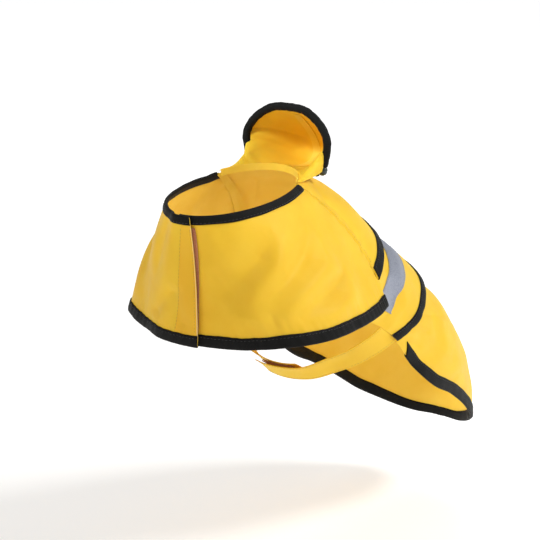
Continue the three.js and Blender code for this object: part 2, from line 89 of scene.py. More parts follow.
RIM = [(7, 0, 56.5), (7, -13.5, 55.5), (6, -23, 51.5), (5, -31.5, 45), (4, -37, 37.5), (3, -39, 30.5),
       (3, -38, 22.5), (3, -36, 14)]
RIM_RADIUS = 3.4
HOOD = {"lift": SEWN, "depth": 62, "drop": 40, "bottom_drop": 20, "taper": 41, "round": 2.4, "least": 0.05}
LOCK_RADIUS = 3.8
FLANK_DEG = 104
BELLY = {"top": 3.1, "bottom": 3.85, "lap": 15, "ramp": 24}
BELLY_TAPE = {"wall": 0.8, "deg": 11, "inset": 0.06}

# Sizes of the cloth's own look
SHELL = 0.7        # thickness of the cloth as shown
STITCH = {"pitch": 3.0, "length": 2.2, "radius": 0.2, "dip": 0.1}
SEAM_GROOVE = {"deep": 1.1, "wide": 1.4}
TAPE_FACE = 1.36   # of a folded tape, from the middle of its cloth
IN_TAPE = 1.3      # the cloth's edge, in from the folded tape's
YOKE_MM = 74       # half the yoke's width at its hem
SEAM_THREAD_IN = 1.6   # the yoke's thread, in from its seam

# Creases: u, v, to_u, to_v, depth (plus is a trough), width in mm, power (2 is soft, nearer 1 is crisp)
LEFT_CREASES = [
    (4.1, 0.76, 4.22, 0.96, 1.1, 3, 1.5), (3.85, 0.8, 3.95, 0.96, 0.7, 3, 1.5),
    (4.62, 0.82, 4.66, 0.97, 0.8, 4, 2), (3.3, 0.86, 3.32, 0.97, 0.6, 3.5, 2),
    (2.1, 0.86, 2.15, 0.97, 0.6, 4, 2), (5.0, 0.44, 4.85, 0.56, 1.0, 6, 2),
    (0.5, 0.45, 1.2, 0.74, 0.9, 9, 2), (0.5, 0.06, 1.5, 0.16, 0.7, 5, 2),
    (4.4, 0.1, 4.1, 0.36, 0.7, 8, 2),
]
RIGHT_CREASES = [
    (5.28, 0.78, 5.6, 0.6, 1.9, 5, 1.8), (5.7, 0.6, 5.92, 0.82, 1.6, 5, 1.8),
    (4.75, 0.58, 4.5, 0.86, 1.6, 10, 2), (4.75, 0.1, 4.9, 0.4, 0.9, 6, 2),
    (3.4, 0.84, 3.45, 0.97, 0.8, 4, 2), (4.2, 0.85, 4.2, 0.97, 0.7, 4, 2),
    (2.3, 0.86, 2.3, 0.97, 0.6, 4, 2), (0.7, 0.05, 1.5, 0.2, 0.8, 6, 2),
]
# The largest folds, each a ridge and the trough beside it, as paths of
# u, v, height, width on the side of growing u and on the other side, in mm
LEFT_FOLDS = [
    [(2.93, 0.2, -1.3, 6, 3.6), (3.5, 0.33, -4.2, 11, 4), (4.4, 0.46, -3.6, 14, 7),
     (5.15, 0.6, -2.6, 12, 10), (5.5, 0.78, -1.0, 10, 10)],
    [(2.71, 0.26, 1.1, 4.5, 8), (3.27, 0.42, 4.0, 5, 10), (4.05, 0.58, 3.8, 7, 9),
     (4.6, 0.76, 2.9, 9, 9), (4.8, 0.92, 0.8, 10, 9)],
    [(1.77, 0.28, -1.5, 5, 3.4), (2.3, 0.4, -4.3, 8, 3.5), (3.15, 0.51, -3.7, 8, 5),
     (3.95, 0.62, -2.6, 8, 6), (4.5, 0.7, -0.8, 8, 6)],
    [(1.55, 0.33, 1.2, 4.5, 10), (1.98, 0.5, 4.3, 4.5, 12), (2.88, 0.62, 3.8, 5.5, 9),
     (3.6, 0.74, 2.8, 7, 7), (4.0, 0.86, 0.8, 7, 7)],
    [(1.6, 0.61, -1.5, 5, 3.4), (2.1, 0.67, -3.4, 7, 4), (2.85, 0.72, -3.0, 7, 5),
     (3.4, 0.78, -1.0, 6, 5)],
    [(1.4, 0.67, 1.1, 4.5, 8), (1.9, 0.77, 3.3, 4.5, 9), (2.55, 0.83, 2.7, 6, 8), (2.9, 0.9, 0.6, 6, 8)],
]
RIGHT_FOLDS = [
    [(4.45, 0.3, 0.8, 6, 8), (4.95, 0.56, 1.4, 7, 9), (5.1, 0.84, 0.8, 8, 9)],
    [(2.75, 0.2, -1.0, 6, 4), (3.35, 0.36, -2.6, 10, 6), (4.05, 0.56, -2.6, 12, 8),
     (4.5, 0.8, -1.0, 10, 8)],
    [(2.5, 0.24, 1.1, 4, 9), (3.1, 0.44, 2.8, 6, 11), (3.75, 0.66, 2.6, 9, 11), (4.1, 0.86, 0.9, 9, 10)],
    [(1.7, 0.32, -0.9, 5, 3), (2.2, 0.48, -2.4, 7, 5), (2.9, 0.7, -1.8, 8, 6), (3.2, 0.84, -0.7, 8, 6)],
    [(1.45, 0.36, 0.9, 4, 9), (1.95, 0.56, 2.6, 6, 11), (2.5, 0.8, 1.3, 8, 10)],
]
CAPE_MM = (28, 97)
# The same for the trunk, in station and deg
TRUNK_CREASES = [
    (0.3, 40, 0.55, 58, 0.7, 4, 1.5), (0.58, 58, 1.15, 64, 0.9, 3, 1.3),
    (1.15, 64, 1.7, 69, 0.6, 4, 1.6), (0.5, -42, 1.3, -60, 0.7, 4, 1.5), (1.0, 20, 1.6, 34, 0.5, 9, 2),
    (0.9, -12, 1.7, -26, 0.5, 10, 2), (2.6, 70, 3.4, 88, 0.9, 8, 2), (3.0, 50, 3.9, 62, 0.6, 9, 2),
    (2.5, -66, 3.6, -84, 0.9, 8, 2), (3.2, -30, 3.9, -44, 0.6, 9, 2), (4.15, 74, 4.8, 59, 1.3, 4, 1.4),
    (3.9, 92, 4.6, 79, 1.4, 4, 1.4), (4.0, 101, 4.6, 93, 1.1, 4, 1.5), (4.5, 66, 5.6, 52, -0.8, 8, 2),
    (4.5, 86, 5.8, 76, 0.9, 8, 2), (5.3, 98, 6.4, 86, 0.8, 7, 2), (6.2, 60, 7.6, 64, 0.9, 12, 2),
    (6.6, 20, 8.0, 30, 0.8, 14, 2), (8.2, 40, 8.8, 46, 0.7, 5, 2), (4.2, -70, 4.9, -56, 1.3, 4, 1.4),
    (4.1, -94, 4.8, -80, 1.2, 5, 1.5), (5.0, -98, 6.2, -88, 0.8, 8, 2),
    (5.2, -36, 6.6, -28, 0.8, 12, 2), (6.8, -58, 8.0, -50, 0.9, 11, 2), (7.6, 4, 8.7, 6, 0.6, 9, 2),
]
TRUNK_MM = (46, 1.3)
# The same for each half of the hood, in rows down the rim and share round the pouch
HOOD_CREASES = [
    (0.8, 0.62, 3.6, 0.86, 1.6, 4, 1.4), (1.6, 0.45, 4.4, 0.7, 1.2, 5, 1.6),
    (0.4, 0.3, 2.6, 0.5, 1.0, 6, 2), (4.2, 0.2, 5.6, 0.62, 1.0, 4, 1.5),
    (2.8, 0.08, 3.6, 0.4, 0.9, 5, 2),
]
HOOD_MM = (13, 105)


# Maths of the solids' surfaces, for arrays of u and v
def row(table, at):
    """Smooth value of every column of a table at fractional rows."""
    t = np.asarray(table, float)
    at = np.asarray(at, float)
    wide = np.vstack([2 * t[0] - t[1], t, 2 * t[-1] - t[-2]])
    i = np.clip(np.floor(at).astype(int), 0, len(t) - 2)
    f = (at - i)[..., None]
    low = np.clip(i - 1, -1, None) + 1
    a, b, c, d = wide[low], wide[i + 1], wide[i + 2], wide[np.minimum(i + 3, len(wide) - 1)]
    return 0.5 * (2 * b + (c - a) * f + (2 * a - 5 * b + 4 * c - d) * f ** 2
                  + (3 * b - a - 3 * c + d) * f ** 3)


def both(u, v):
    """Two inputs as arrays of one shape."""
    return np.broadcast_arrays(np.asarray(u, float), np.asarray(v, float))


def unit(vectors):
    return vectors / np.maximum(np.linalg.norm(vectors, axis=-1, keepdims=True), 1e-12)


def lengths(path):
    """Length run along a path at each of its points."""
    return np.concatenate([[0], np.cumsum(np.linalg.norm(np.diff(path, axis=0), axis=-1))])


def smooth(x, low, high):
    t = np.clip((np.asarray(x, float) - low) / (high - low), 0, 1)
    return t * t * (3 - 2 * t)


def lerp(a, b, t):
    return a + (b - a) * t


def nearest(x, y, ax, ay, dx, dy):
    """Share of the line from (ax, ay) by (dx, dy) nearest to each point, and how far away it is."""
    t = np.clip(((x - ax) * dx + (y - ay) * dy) / (dx * dx + dy * dy), 0, 1)
    return t, np.hypot(x - ax - t * dx, y - ay - t * dy)


def fold_depth(table, scale, u, v):
    """How far the listed folds draw a surface in at (u, v)."""
    x, y = np.asarray(u, float) * scale[0], np.asarray(v, float) * scale[1]
    depth = np.zeros(np.broadcast(x, y).shape)
    for u0, v0, u1, v1, deep, width, power in table:
        ax, ay = u0 * scale[0], v0 * scale[1]
        _, away = nearest(x, y, ax, ay, u1 * scale[0] - ax, v1 * scale[1] - ay)
        depth += deep * np.exp(-(away / width) ** power)
    return depth


def fold_height(paths, scale, u, v):
    """How far the listed folds lift a surface at (u, v)."""
    x, y = np.asarray(u, float) * scale[0], np.asarray(v, float) * scale[1]
    total = np.zeros(np.broadcast(x, y).shape)
    for path in paths:
        best = np.full(total.shape, 1e9)
        lift = np.zeros(total.shape)
        for (u0, v0, *start), (u1, v1, *end) in zip(path, path[1:]):
            ax, ay, dx, dy = u0 * scale[0], v0 * scale[1], (u1 - u0) * scale[0], (v1 - v0) * scale[1]
            t, away = nearest(x, y, ax, ay, dx, dy)
            height, ahead, behind = (lerp(a, b, t) for a, b in zip(start, end))
            wide = np.where((x - ax) * dy - (y - ay) * dx > 0, ahead, behind)
            lift = np.where(away < best, height * np.exp(-(away / wide) ** 2), lift)
            best = np.minimum(best, away)
        total += lift
    return total


def puckers(along, away, pitch, reach, deep):
    """Small gathers beside a sewn line, along and away from it in mm."""
    turn = 2 * np.pi * along / pitch
    waves = np.sin(turn + 1.7 * np.sin(along / 11.0)) + 0.5 * np.sin(turn / 1.7)
    return deep * waves * np.exp(-np.abs(away) / reach)


def ripple(u, v, scale, seed):
    """Slow unevenness of hand-sewn cloth, in mm."""
    x, y = u * scale[0] / 17 + seed, v * scale[1] / 17 - seed
    return 0.22 * (np.sin(1.3 * x + 0.7 * y) + np.sin(0.6 * x - 1.1 * y + 2)
                   + 0.6 * np.sin(2.3 * x + 1.9 * y + 1))


def neckline(deg):
    turn = np.radians(deg)
    return np.stack([NECK["x"] + NECK["half_length"] * np.cos(turn), -NECK["half_width"] * np.sin(turn),
                     NECK["z"] + NECK["rise"] * np.cos(turn)], -1)


RIBS_ROUND_FRONT = CAPE_RIBS + [
    (360 - d, x, -y, z, back, -out) for d, x, y, z, back, out in CAPE_RIBS[:-1][::-1]
]


def cape_plain(rib, down):
    rib, down = both(rib, down)
    at = row(RIBS_ROUND_FRONT, rib)
    start = neckline(at[..., 0])
    point = lerp(start, at[..., 1:4], down[..., None])
    bow = 4 * down * (1 - down)
    point[..., 0] += bow * at[..., 4]
    point[..., 1] -= bow * at[..., 5]
    return point


def hoop(station):
    """Spine point, half width and fall of the hoop at each station."""
    station = np.asarray(station, float)
    spine = row(SPINE, station)
    share = np.minimum(station, FLAP_STATION) / FLAP_STATION
    seam = cape_plain(np.zeros_like(share), RAGLAN_END * share)
    turn = np.radians(lerp(*RAGLAN_DEG, share))
    drop = 1 - np.cos(turn)
    top = row(SPINE, np.minimum(station, FLAP_STATION))
    width = -seam[..., 1] / np.sin(turn)
    fall_x = (seam[..., 0] - top[..., 0]) / drop
    fall_z = (seam[..., 2] - top[..., 1]) / drop
    past = np.maximum(station - FLAP_STATION, 0)
    at = row(TRUNK_HOOPS, past) if TRUNK_HOOPS else np.zeros((*station.shape, 3))
    tilt = np.radians(at[..., 0])
    low = station >= FLAP_STATION
    return (spine, np.where(low, at[..., 1], width), np.where(low, -np.cos(tilt) * at[..., 2], fall_x),
            np.where(low, -np.sin(tilt) * at[..., 2], fall_z))


# The hoop where the yoke ends is worked out before the table that it starts
TRUNK_HOOPS = []
_, flap_width, flap_x, flap_z = hoop(np.array(FLAP_STATION - 1e-9))
flap_tilt = math.degrees(math.atan2(-flap_z, -flap_x))
TRUNK_HOOPS = [(flap_tilt, float(flap_width), math.hypot(flap_x, flap_z)), *HOOPS]


def trunk_plain(station, deg):
    station, deg = both(station, deg)
    spine, width, fall_x, fall_z = hoop(station)
    drop = 1 - np.cos(np.radians(deg))
    return np.stack([spine[..., 0] + fall_x * drop, -width * np.sin(np.radians(deg)),
                     spine[..., 1] + fall_z * drop], -1)


STEP = 1e-3   # of u or v, for slopes and normals


def slopes(surface, u, v):
    """How far a surface goes over two steps of u and of v."""
    return surface(u + STEP, v) - surface(u - STEP, v), surface(u, v + STEP) - surface(u, v - STEP)


def normal_at(surface, u, v, side):
    return side * unit(np.cross(*slopes(surface, u, v)))


def raised(surface, side, amount):
    """A surface moved out along its normal by a number or by a function of (u, v)."""
    def moved(u, v):
        u, v = both(u, v)
        out = amount(u, v) if callable(amount) else np.full(u.shape, float(amount))
        return surface(u, v) + normal_at(surface, u, v, side) * out[..., None]
    return moved


def speed_across(surface, u, v):
    """Millimetres for each unit of v, square to the line of constant v."""
    along_u, along_v = slopes(surface, u, v)
    area = np.linalg.norm(np.cross(along_u, along_v), axis=-1)
    return area / np.linalg.norm(along_u, axis=-1) / (2 * STEP)


def mirrored(surface):
    return lambda u, v: surface(u, v) * np.array([1, -1, 1])


def dressed(surface, side, table, scale, seed, extra=None, calm=None):
    """A surface with its small creases, moved out by extra(u, v) and still where calm is 0."""
    def out(u, v):
        amount = ripple(u, v, scale, seed) - fold_depth(table, scale, u, v)
        if calm:
            amount = amount * calm(u, v)
        return amount + (extra(u, v) if extra else 0)
    return raised(surface, side, out)


def grid_normals(surface, points, u_grid, v_grid, side):
    """Outward normals of a grid of points, all turned the way of the surface's own middle normal."""
    out = unit(np.cross(np.gradient(points, axis=0), np.gradient(points, axis=1)))
    i, j = points.shape[0] // 2, points.shape[1] // 2
    middle = normal_at(surface, u_grid[i:i + 1, j], v_grid[i:i + 1, j], side)[0]
    return out * np.sign((out[i, j] * middle).sum())


# Meshes
def linked(name, data):
    """A new object in the scene."""
    made = bpy.data.objects.new(name, data)
    bpy.context.scene.collection.objects.link(made)
    return made


def mesh_object(name, points, faces, materials, uv=None, slots=None, sharp=40):
    mesh = bpy.data.meshes.new(name)
    mesh.from_pydata((np.asarray(points) * MM).tolist(), [], faces)
    if uv is not None:
        layer = mesh.uv_layers.new(name="cut")
        index = np.empty(len(mesh.loops), dtype=np.int32)
        mesh.loops.foreach_get("vertex_index", index)
        layer.data.foreach_set("uv", (np.asarray(uv) * MM)[index].astype(np.float32).ravel())
    mesh.polygons.foreach_set("use_smooth", np.ones(len(mesh.polygons), dtype=bool))
    if slots is not None:
        mesh.polygons.foreach_set("material_index", np.asarray(slots, dtype=np.int32))
    mesh.update()
    mesh.set_sharp_from_angle(angle=math.radians(sharp))
    for material in materials:
        mesh.materials.append(material)
    return linked(name, mesh)


def cut_lengths(points):
    """Length along the rows and down the columns of a grid of points, for its UV map."""
    along = lengths(points[:, points.shape[1] // 2])
    down = [lengths(line) for line in points]
    return np.stack(np.broadcast_arrays(along[:, None], down), -1)


def shell(name, surface, side, us, v_at, materials, thick=SHELL, slot_at=None):
    """Thin closed cloth over a surface; material 0 is its outer face and 1 its inner face."""
    us = np.asarray(us, float)
    vs = np.asarray(v_at(us) if callable(v_at) else v_at, float)
    vs = np.broadcast_to(vs, (len(us), vs.shape[-1]))
    u_grid = np.repeat(us[:, None], vs.shape[1], 1)
    points = surface(u_grid, vs)
    normals = grid_normals(surface, points, u_grid, vs, side)
    nu, nv = points.shape[:2]
    every = np.concatenate([(points + sign * normals * thick / 2).reshape(-1, 3) for sign in (1, -1)])
    uv = np.tile(cut_lengths(points).reshape(-1, 2), (2, 1))
    i, j = np.meshgrid(np.arange(nu - 1), np.arange(nv - 1), indexing="ij")
    a = (i * nv + j).ravel()
    size = nu * nv
    turn = 1 if side > 0 else -1
    front = np.stack([a, a + nv, a + nv + 1, a + 1], 1)[:, ::turn]
    back = (np.stack([a, a + 1, a + nv + 1, a + nv], 1) + size)[:, ::turn]
    index = np.arange(size).reshape(nu, nv)
    ring = np.concatenate([index[0], index[1:, -1], index[-1, -2::-1], index[-2:0:-1, 0]])
    after = np.roll(ring, -1)
    rim = np.stack([ring, after, size + after, size + ring], 1)[:, ::turn]
    faces = np.concatenate([front, back, rim]).tolist()
    u_mid, v_mid = u_grid[:-1, :-1].ravel(), vs[:-1, :-1].ravel()
    outer = slot_at(u_mid, v_mid) if slot_at else np.zeros(len(a))
    slots = np.concatenate([outer, np.ones(len(a)), np.zeros(len(rim))])
    return mesh_object(name, every, faces, materials, uv, slots)


def bound_vs(surface, count, first=0.0, top_bound=False):
    """v values of a bound panel for each u: the cloth ends inside its folded tape."""
    share = np.linspace(0, 1, count)

    def values(us):
        last = 1 - IN_TAPE / speed_across(surface, us, np.ones_like(us))
        start = np.full_like(us, first)
        if top_bound:
            start = IN_TAPE / speed_across(surface, us, np.zeros_like(us))
        return lerp(start[:, None], last[:, None], share)
    return values


def tape_section(width):
    """Section of a folded tape: mm in from its fold, and mm out from the middle of the cloth."""
    half = [(width, 0.5), (width - 0.05, 0.95), (width - 0.5, 1.22), (0.72 * width, TAPE_FACE),
            (0.42 * width, 1.5), (1.7, 1.5), (0.8, 1.3), (0.25, 0.85), (0.0, 0.3)]
    return half + [(s, -o) for s, o in half[::-1]] + [(1.2, -0.45), (1.2, 0.45)]


def speed_inward(surface, us, v_edge, inward, reach=0.06):
    """Millimetres for each unit of v just inside an edge, square to it."""
    edge = surface(us, np.full_like(us, v_edge))
    step = surface(us, np.full_like(us, v_edge + inward * reach)) - edge
    along = unit(np.gradient(edge, axis=0))
    step -= along * (step * along).sum(-1, keepdims=True)
    return np.linalg.norm(step, axis=-1) / reach


def folded_tape(name, surface, side, us, v_edge, inward, material, width=TAPE):
    us = np.asarray(us, float)
    speed = speed_inward(surface, us, v_edge, inward)
    length = lengths(surface(us, np.full_like(us, v_edge)))
    uneven = 0.18 * np.sin(length / 9.0) + 0.12 * np.sin(length / 4.1 + 1)
    section = tape_section(width)
    stops = [normal_at(surface, us, v_edge + inward * share * width / speed, side) for share in (0, 0.5, 1)]
    rings, uv = [], []
    for (inset, out), run in zip(section, lengths(section)):
        s = inset + (uneven if inset > 0.7 * width else 0)
        v = v_edge + inward * s / speed
        puff = 1 + 0.05 * np.sin(length / 2.6) * (0.3 < abs(out))
        at = 2 * min(max(inset / width, 0), 1)
        up = lerp(stops[0], stops[1], at) if at < 1 else lerp(stops[1], stops[2], at - 1)
        rings.append(surface(us, v) + up * (out * puff)[:, None])
        uv.append(np.stack([length, np.full_like(length, run)], -1))
    return ringed(name, np.stack(rings, 1), np.stack(uv, 1), material)


def ringed(name, points, uv, material):
    """A closed form through rings of points, its faces turned out where its volume comes out negative."""
    count, sides = points.shape[:2]
    faces = [(i + j, i + (j + 1) % sides, i + sides + (j + 1) % sides, i + sides + j)
             for i in range(0, (count - 1) * sides, sides) for j in range(sides)]
    faces += [tuple(range(sides))[::-1], tuple(range((count - 1) * sides, count * sides))]
    made = mesh_object(name, points.reshape(-1, 3), faces, [material], uv.reshape(-1, 2))
    form = bmesh.new()
    form.from_mesh(made.data)
    if form.calc_volume(signed=True) < 0:
        made.data.flip_normals()
    form.free()
    return made


def at_lengths(at, length, values):
    return np.stack([np.interp(at, length, values[:, k]) for k in range(3)], -1)


def stitches(name, paths, ups, material, pitch=STITCH["pitch"]):
    """Rows of short thread stitches that lie on a face; ups are the normals along each path."""
    points, faces = [], []
    half, radius, dip = STITCH["length"] / 2, STITCH["radius"], STITCH["dip"]
    turns = [2 * math.pi * k / 5 for k in range(5)]
    for path, up in zip(paths, ups):
        length = lengths(path)
        at = np.arange(pitch * 0.7, length[-1] - pitch * 0.6, pitch)
        here = at_lengths(at, length, path)
        way = unit(at_lengths(at + 0.5, length, path) - here)
        lift = unit(at_lengths(at, length, up))
        cross = np.cross(lift, way)
        for p, w, n, c in zip(here, way, lift, cross):
            base = len(points)
            points.append(p - w * half - n * dip)
            for share in (-0.55, 0.55):
                points += [p + w * half * share + (c * math.cos(turn) + n * math.sin(turn)) * radius
                           for turn in turns]
            points.append(p + w * half - n * dip)
            for k in range(5):
                a, b = base + 1 + k, base + 1 + (k + 1) % 5
                faces += [(base, b, a), (a, b, b + 5, a + 5), (base + 11, a + 5, b + 5)]
    return mesh_object(name, points, faces, [material], sharp=180)


def line_on(surface, side, us, vs, out):
    """A path along a surface, out mm above it, with its normals."""
    us, vs = both(us, vs)
    up = normal_at(surface, us, vs, side)
    return surface(us, vs) + up * out, up


# Materials
def new_material(name):
    material = bpy.data.materials.new(name)
    material.use_nodes = True
    tree = material.node_tree
    return material, tree, tree.nodes["Principled BSDF"], tree.nodes.new("ShaderNodeTexCoord").outputs


def settle(node, **values):
    """Constants on a node's sockets, named with _ for each space."""
    for name, value in values.items():
        node.inputs[name.replace("_", " ")].default_value = value


def fed(tree, kind, vector, **values):
    """A texture node fed by a vector, with its constants."""
    node = tree.nodes.new("ShaderNodeTex" + kind)
    tree.links.new(vector, node.inputs["Vector"])
    settle(node, **values)
    return node


def noise(tree, vector, scale, detail=3.0):
    return fed(tree, "Noise", vector, Scale=scale, Detail=detail).outputs["Fac"]


def wave(tree, vector, scale, direction):
    node = fed(tree, "Wave", vector, Scale=scale)
    node.bands_direction = direction
    return node.outputs["Fac"]


def maths(tree, kind, a, b):
    node = tree.nodes.new("ShaderNodeMath")
    node.operation = kind
    for socket, value in zip(node.inputs, (a, b)):
        if isinstance(value, (int, float)):
            socket.default_value = value
        else:
            tree.links.new(value, socket)
    return node.outputs[0]


def colour(tree, shader, fac, low, high, start=0.35, end=0.65):
    """A shader's colour, from low to high as fac goes from start to end."""
    node = tree.nodes.new("ShaderNodeValToRGB")
    node.color_ramp.elements[0].position = start
    node.color_ramp.elements[1].position = end
    node.color_ramp.elements[0].color = (*low, 1)
    node.color_ramp.elements[1].color = (*high, 1)
    tree.links.new(fac, node.inputs["Fac"])
    tree.links.new(node.outputs["Color"], shader.inputs["Base Color"])


def bump(tree, height, strength, distance, shader, under=None):
    node = tree.nodes.new("ShaderNodeBump")
    settle(node, Strength=strength, Distance=distance)
    tree.links.new(height, node.inputs["Height"])
    if under is not None:
        tree.links.new(under, node.inputs["Normal"])
    tree.links.new(node.outputs["Normal"], shader.inputs["Normal"])
    return node.outputs["Normal"]


def cloth_material(name, low, high, roughness=0.5, sheen=0.015):
    """Coated plain-weave nylon: faint weave, small wrinkles and a slight satin shine."""
    material, tree, shader, place = new_material(name)
    colour(tree, shader, noise(tree, place["Object"], 34.0, 4.0), low, high)
    rough = maths(tree, "MULTIPLY_ADD", noise(tree, place["Object"], 120.0), 0.16)
    rough.node.inputs[2].default_value = roughness - 0.08
    tree.links.new(rough, shader.inputs["Roughness"])
    settle(shader, Sheen_Weight=sheen, Sheen_Roughness=0.4, Specular_IOR_Level=0.12, Subsurface_Weight=0.22,
           Subsurface_Radius=(1.0, 0.62, 0.18), Subsurface_Scale=0.0022)
    weave = maths(tree, "MULTIPLY", wave(tree, place["UV"], 700.0, "X"),
                  wave(tree, place["UV"], 700.0, "Y"))
    fine = bump(tree, weave, 0.18, 0.00012, shader)
    wrinkle = noise(tree, place["Object"], 62.0, 5.0)
    bump(tree, wrinkle, 0.34, 0.0014, shader, fine)
    return material


def tape_material(name, dark, light, pitch=0.0011, roughness=0.62):
    """Woven tape whose ribs run across it."""
    material, tree, shader, place = new_material(name)
    ribs = wave(tree, place["UV"], 0.31 / pitch, "X")
    colour(tree, shader, ribs, dark, light, 0.2, 0.9)
    settle(shader, Roughness=roughness, Sheen_Weight=0.04, Sheen_Roughness=0.35, Specular_IOR_Level=0.12)
    under = bump(tree, noise(tree, place["Object"], 900.0), 0.15, 0.0003, shader)
    bump(tree, ribs, 0.5, 0.00022, shader, under)
    return material


def fuzzy_material(name, dark, light):
    """Hook or loop tape: a mat of fine loops."""
    material, tree, shader, place = new_material(name)
    mat = noise(tree, place["Object"], 1500.0, 4.0)
    colour(tree, shader, mat, dark, light)
    settle(shader, Roughness=0.85, Sheen_Weight=0.4)
    bump(tree, mat, 0.7, 0.0006, shader)
    return material


def stripe_material():
    """Grey reflective film with a fine honeycomb seal."""
    material, tree, shader, place = new_material("reflective_film")
    cells = fed(tree, "Voronoi", place["UV"], Scale=420.0)
    cells.feature = "DISTANCE_TO_EDGE"
    seal = cells.outputs["Distance"]
    colour(tree, shader, seal, (0.25, 0.27, 0.34), (0.31, 0.335, 0.41), 0.02, 0.1)
    settle(shader, Metallic=0.25, Roughness=0.5)
    bump(tree, seal, 0.2, 0.0004, shader)
    return material


def plain_material(name, low, high, roughness, scale=300.0, coat=0.0):
    material, tree, shader, place = new_material(name)
    grain = noise(tree, place["Object"], scale)
    colour(tree, shader, grain, low, high)
    settle(shader, Roughness=roughness, Coat_Weight=coat)
    bump(tree, grain, 0.15, 0.0003, shader)
    return material


CLOTH_OUT = cloth_material("yellow_coated_nylon", (0.84, 0.52, 0.035), (0.89, 0.565, 0.045))
CLOTH_IN = cloth_material("yellow_nylon_inside", (0.88, 0.57, 0.06), (0.93, 0.62, 0.08), 0.6, 0.03)
CLOTH_DOUBLE = cloth_material("yellow_nylon_double", (0.86, 0.47, 0.03), (0.90, 0.51, 0.04))
# The paler strip along the right front's edge is a painted highlight, not a colour of the cloth
EDGE_HIGHLIGHT = cloth_material("painted_edge_highlight", (0.92, 0.62, 0.30), (0.95, 0.66, 0.36), 0.6)
TAPE_BLACK = tape_material("black_folded_tape", (0.003, 0.003, 0.003), (0.009, 0.009, 0.009))
CORD_BLACK = tape_material("black_cord", (0.003, 0.003, 0.003), (0.009, 0.009, 0.010), 0.0016, 0.6)
HOOK_SALMON = fuzzy_material("salmon_hook_tape", (0.36, 0.12, 0.05), (0.50, 0.19, 0.09))
THREAD_BLACK = plain_material("black_thread", (0.012, 0.012, 0.015), (0.03, 0.03, 0.035), 0.5, 2000.0)
THREAD_YELLOW = plain_material("yellow_thread", (0.62, 0.38, 0.03), (0.75, 0.48, 0.05), 0.5, 2000.0)
THREAD_GREY = plain_material("grey_thread", (0.22, 0.23, 0.28), (0.32, 0.33, 0.38), 0.5, 2000.0)
LOCK_PLASTIC = plain_material("dark_lock_plastic", (0.010, 0.022, 0.020), (0.018, 0.032, 0.028), 0.33,
                              500.0, 0.3)
FILM = stripe_material()

LINED = [CLOTH_OUT, CLOTH_IN]
INSIDE = [CLOTH_IN, CLOTH_IN]
HOOK_TAPE = [HOOK_SALMON, HOOK_SALMON]
tape_rows = []


def piece(made, slot_name, *nodes):
    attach(made, "root")
    if nodes:
        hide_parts(*nodes)


def cloth(name, surface, side, us, vs, *nodes, materials=LINED, thick=SHELL, slot_at=None):
    piece(shell(name, surface, side, us, vs, materials, thick, slot_at), "cloth", *nodes)


def across_to(limit, count):
    return np.linspace(-limit, limit, count)


def tape_row(surface, side, us, v_edge, inward, width):
    """The thread along a folded tape, near its inner edge."""
    speed = speed_inward(surface, us, v_edge, inward)
    return line_on(surface, side, us, v_edge + inward * (0.8 * width) / speed, TAPE_FACE)


def bind(name, node, surface, side, us, at_top=False, sewn=None):
    """Folded tape along the hem or the top of a panel, and its row of thread."""
    v_edge, inward, width = (0.0, 1, NECK_TAPE) if at_top else (1.0, -1, TAPE)
    piece(folded_tape(name, surface, side, us, v_edge, inward, TAPE_BLACK, width), "trim", node)
    tape_rows.append(tape_row(surface, side, us if sewn is None else sewn, v_edge, inward, width))


# The cape
ribs_per_mm = 0.01 / float(np.linalg.norm(cape_plain(CAPE_SPAN, 1.0) - cape_plain(CAPE_SPAN + 0.01, 1.0)))
lift_rib = CAPE_SPAN - (LAP["under"] + LAP["spare"]) * ribs_per_mm
LEFT_END = CAPE_SPAN + LAP["under"] * ribs_per_mm
RIGHT_END = CAPE_SPAN + LAP["over"] * ribs_per_mm


def lap_lift(rib):
    return LAP["lift"] * smooth(rib, lift_rib - LAP["ramp"] * ribs_per_mm, lift_rib)


def off_seam(rib, _down):
    """The cape is still along its raglan seam, so that it meets the yoke there."""
    return smooth(rib, 0.0, 0.22)


def seam_sink(away):
    """Depth of the groove that a sewn seam draws, by the distance from it in mm."""
    return SEAM_GROOVE["deep"] * np.exp(-(away / SEAM_GROOVE["wide"]) ** 2)


def cape_detail(folds, rib, down):
    """Large folds, hem puckers, and the drawn-in raglan seam with its own puckers."""
    by_seam = rib * CAPE_MM[0]
    sewn = smooth(RAGLAN_END - down, -0.02, 0.03)
    return (fold_height(folds, CAPE_MM, rib, down) * off_seam(rib, down)
            + puckers(by_seam, (1 - down) * CAPE_MM[1] - 9, 5.2, 5, 0.26) * smooth(by_seam, 0, 6)
            + sewn * (puckers(down * CAPE_MM[1], by_seam - 2, 7, 5, 0.3) - seam_sink(by_seam)))


def lap_reach(down):
    """Ribs by which the right front's edge bows out past its hem."""
    end = np.full_like(down, CAPE_SPAN)
    per_mm = 0.01 / np.linalg.norm(cape_plain(end, down) - cape_plain(end + 0.01, down), axis=-1)
    return LAP["bow"] * (1 - ((down - LAP["bow_at"]) / (1 - LAP["bow_at"])) ** 2) * per_mm


def right_plain(rib, down):
    rib, down = both(rib, down)
    moved = rib + smooth(rib, CAPE_SPAN - 1, CAPE_SPAN) * lap_reach(down)
    return cape_plain(moved, down) * np.array([1, -1, 1])


def tape_shift(down):
    """Ribs from the hook tape's place on the left front: it runs in under the lap."""
    askew = lerp(*HOOK_ASKEW, smooth(down, 0.1, 0.75))
    return askew * ribs_per_mm - lap_reach(down)


def hook_plain(rib, down):
    rib, down = both(rib, down)
    return cape_plain(rib + tape_shift(down), down)


def right_cape_out(out):
    return dressed(right_plain, -1, RIGHT_CREASES, CAPE_MM, 2.1,
                   lambda u, v: out + lap_lift(u) + cape_detail(RIGHT_FOLDS, u, v), off_seam)


